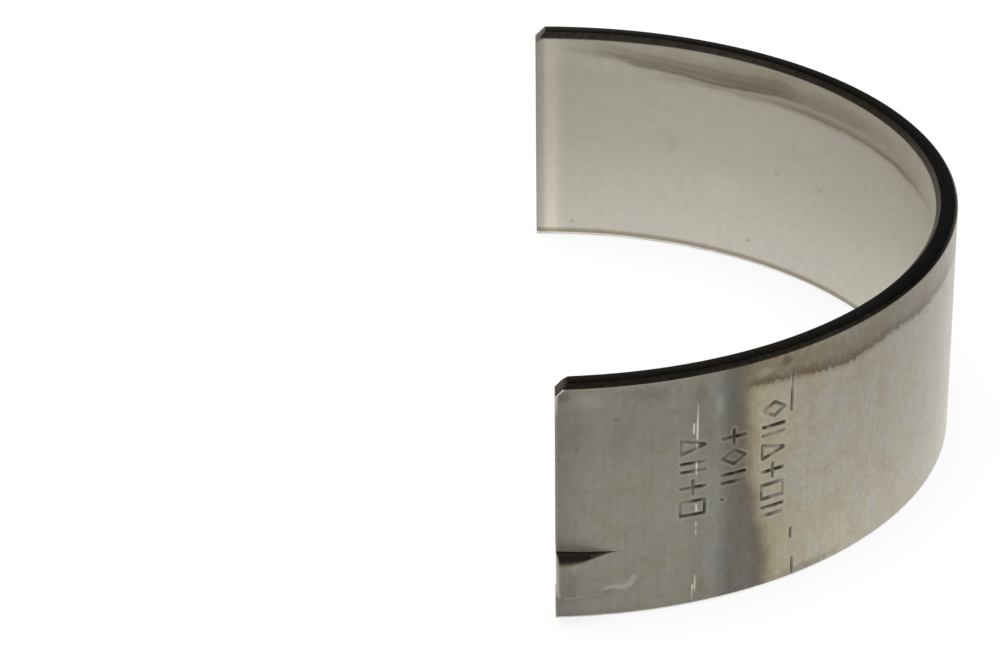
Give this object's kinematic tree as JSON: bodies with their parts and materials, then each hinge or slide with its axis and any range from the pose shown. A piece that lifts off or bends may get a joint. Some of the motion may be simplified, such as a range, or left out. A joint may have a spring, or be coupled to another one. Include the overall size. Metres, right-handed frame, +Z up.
{
  "type": "engine bearing shell",
  "caption": "Half-round steel-backed plain bearing shell for an engine connecting rod, with chamfered edges, crush relief and a lanced locating tang.",
  "frame": {"origin": "on the bore axis, at half the width", "axes": "+Z up along the bore axis as the shell stands on a side face, +X from the bore axis to the crown, so the joint faces look to -X and the locating tang is at the -Y end"},
  "size_m": [0.03, 0.0622, 0.018],
  "materials": {
    "shell_steel": "satin steel back with faint rolling streaks, a blue heat-tint band and dull smudges, plated running surface, dark sheared edges"
  },
  "bodies": {
    "root": {"bearing_shell": "shell_steel"}
  },
  "joints": []
}
